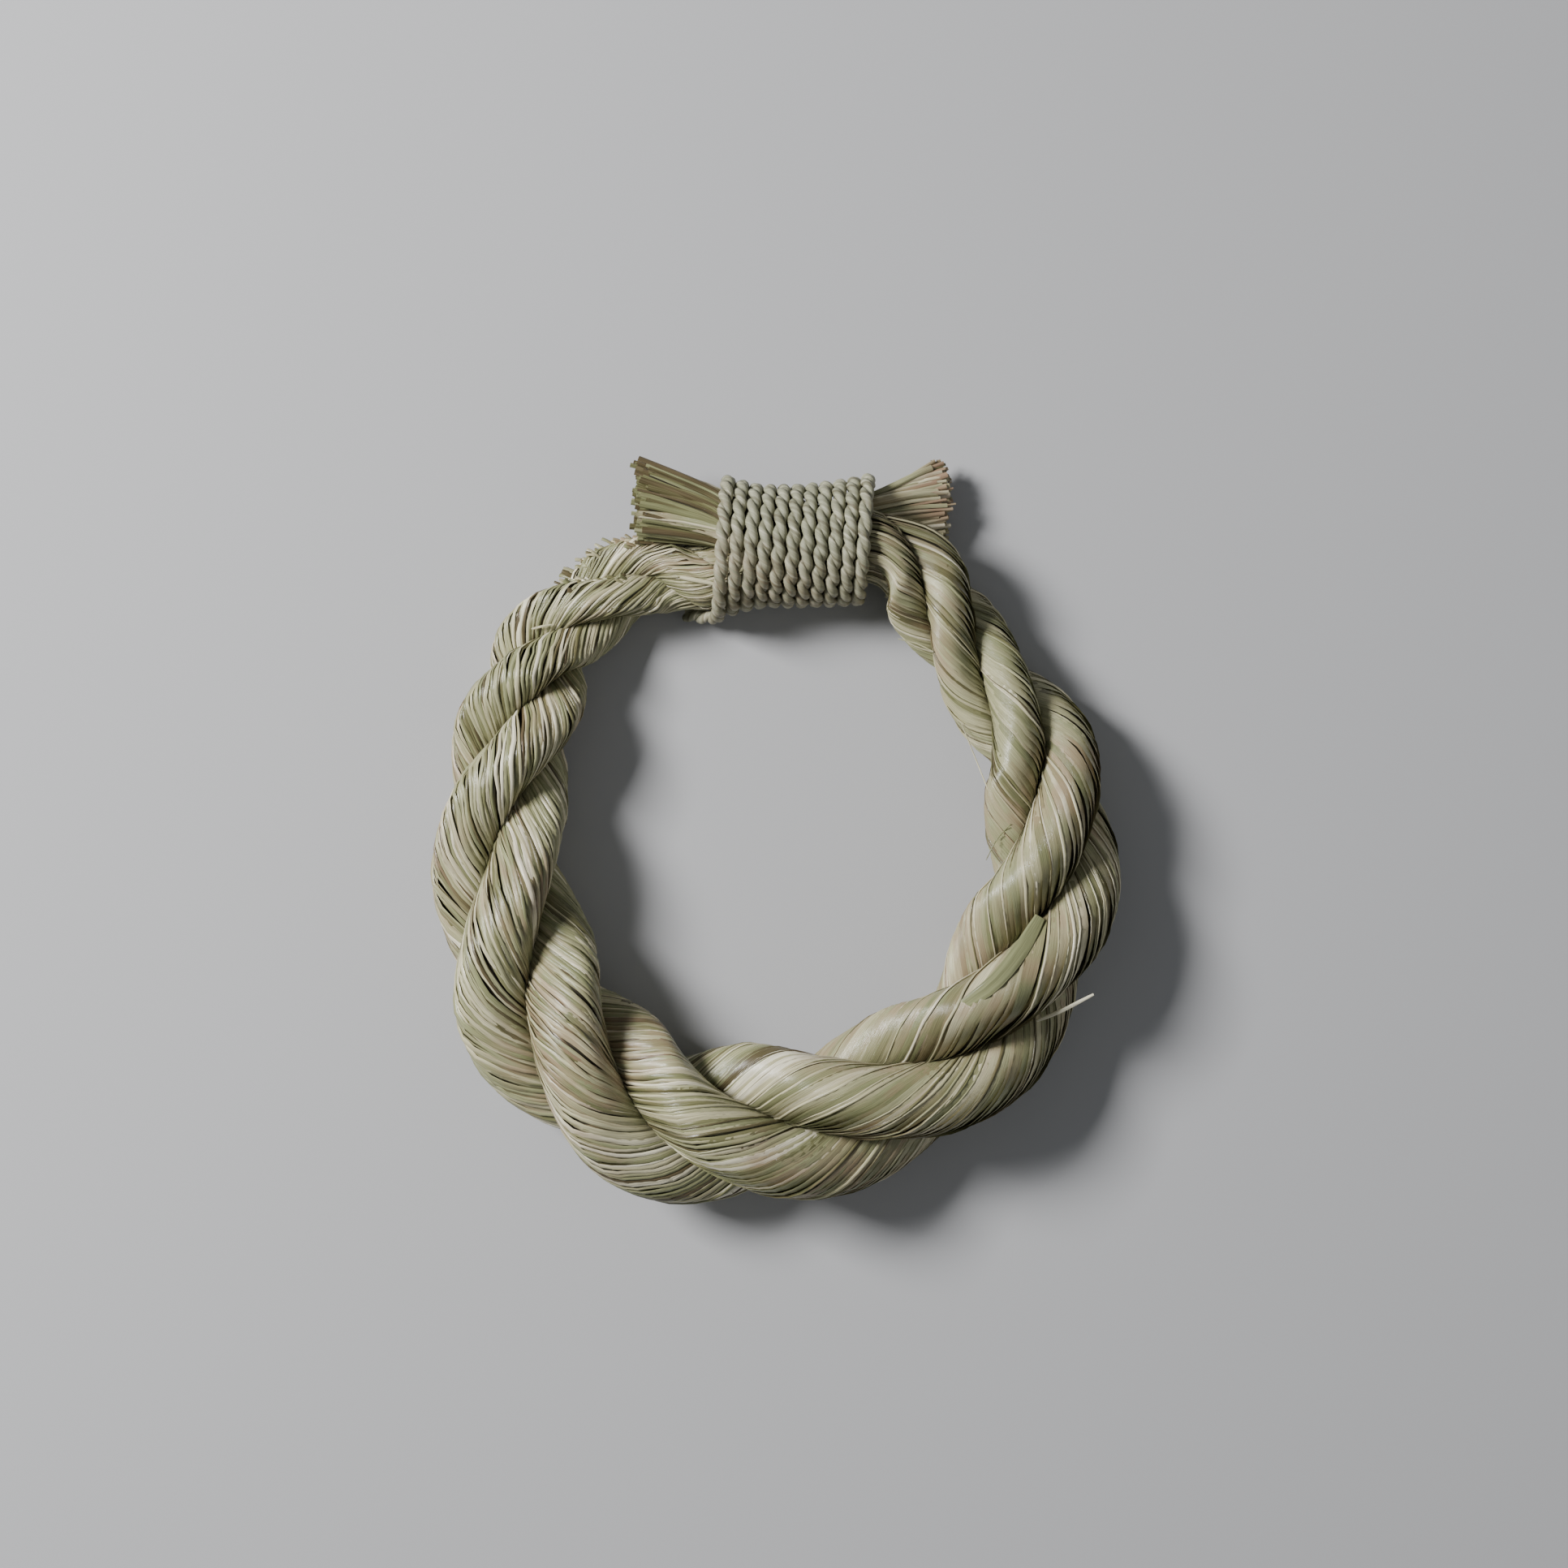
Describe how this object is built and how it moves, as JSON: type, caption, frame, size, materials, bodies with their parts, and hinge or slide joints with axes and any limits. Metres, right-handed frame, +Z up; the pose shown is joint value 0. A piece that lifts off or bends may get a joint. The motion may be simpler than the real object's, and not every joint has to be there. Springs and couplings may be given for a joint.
{
  "type": "straw ornament",
  "caption": "Wreath-like ring of thick twisted straw rope, its ends crossed at the top and bound with thin straw cord, cut straw tufts at both sides.",
  "frame": {"origin": "middle of the bounding box, on the ground that the ring lies on", "axes": "+Z up from the ground through the ring's hole, +Y towards the binding, +X to the right seen from above"},
  "size_m": [0.279, 0.3028, 0.0647],
  "materials": {
    "straw": "dry rice straw, greenish cream, slightly glossy stalks",
    "cord_straw": "thin twisted straw cord, grey-green, dull"
  },
  "bodies": {
    "root": {"strand_1": "straw", "strand_2": "straw", "strand_3": "straw", "binding_cord": "cord_straw"}
  },
  "joints": []
}
